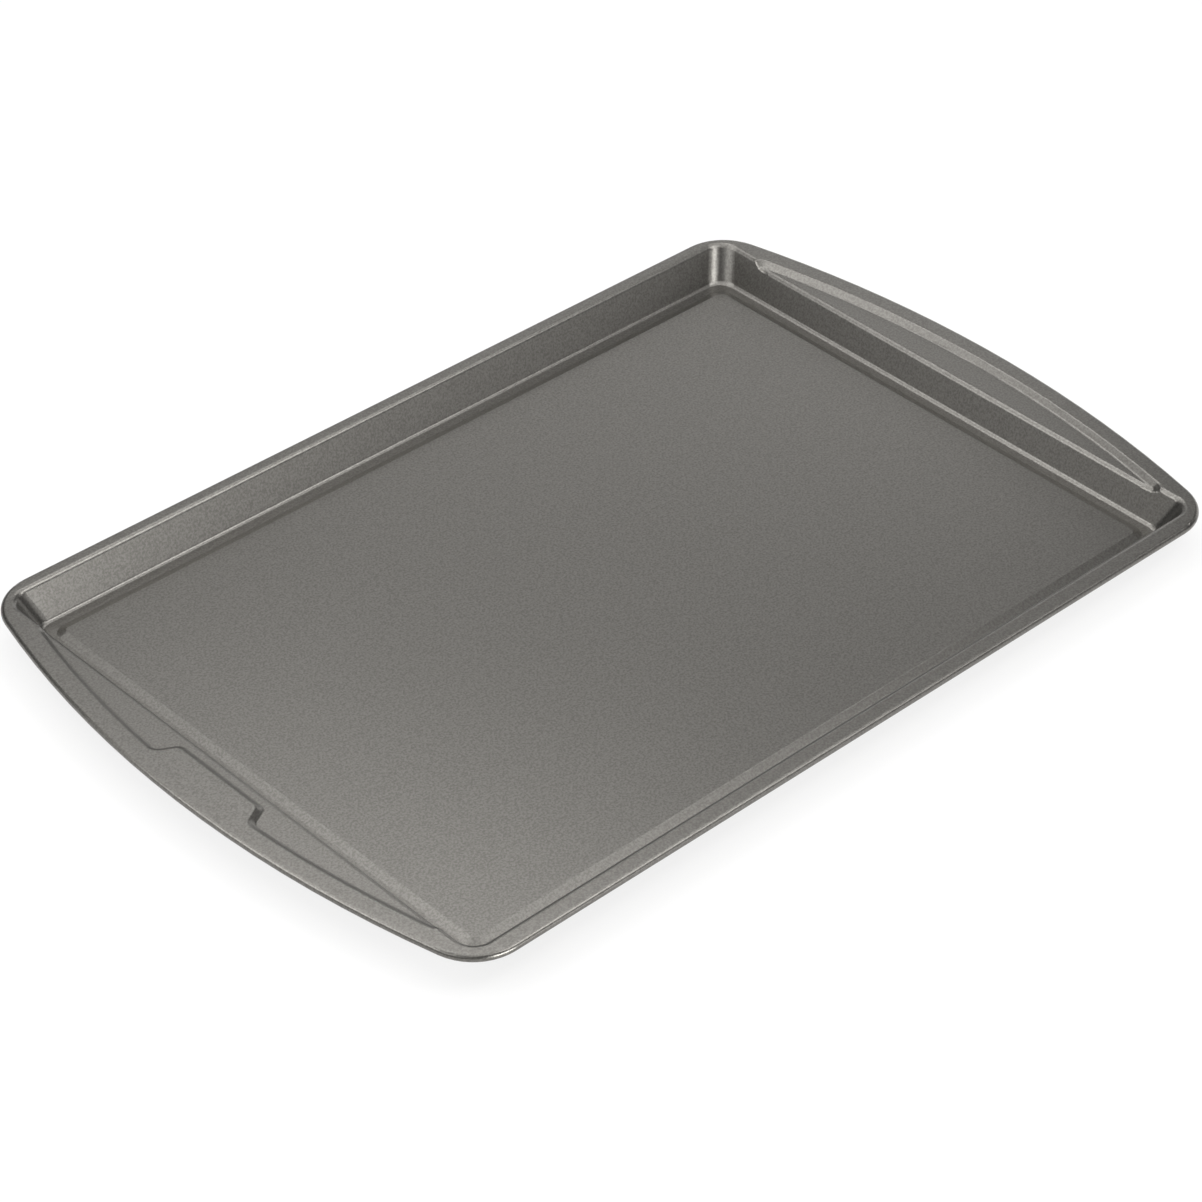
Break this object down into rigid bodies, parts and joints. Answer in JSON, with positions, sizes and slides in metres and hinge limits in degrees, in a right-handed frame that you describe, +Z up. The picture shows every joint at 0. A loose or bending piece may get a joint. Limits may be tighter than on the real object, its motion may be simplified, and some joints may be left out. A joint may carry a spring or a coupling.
{
  "type": "jelly roll pan",
  "caption": "Shallow rectangular nonstick steel baking pan with a raised floor panel, sloping walls, wide bowed end handles with pressed recesses and a wire-filled rolled edge.",
  "frame": {"origin": "Under the middle of the pan, on the plane that its gutter ring rests on.", "axes": "+X runs along the length towards the plain handle, the handle with the pad is at -X. +Y runs across the width. +Z points up, out of the open side."},
  "size_m": [0.4382, 0.283, 0.0156],
  "materials": {
    "nonstick_coated_steel": "dark grey satin nonstick coating with a fine metallic speckle over pressed carbon steel",
    "bare_steel_wire": "plain drawn steel wire, hidden inside the rolled edge"
  },
  "bodies": {
    "root": {"pan_body": "nonstick_coated_steel", "rim_wire": "bare_steel_wire"}
  },
  "joints": []
}
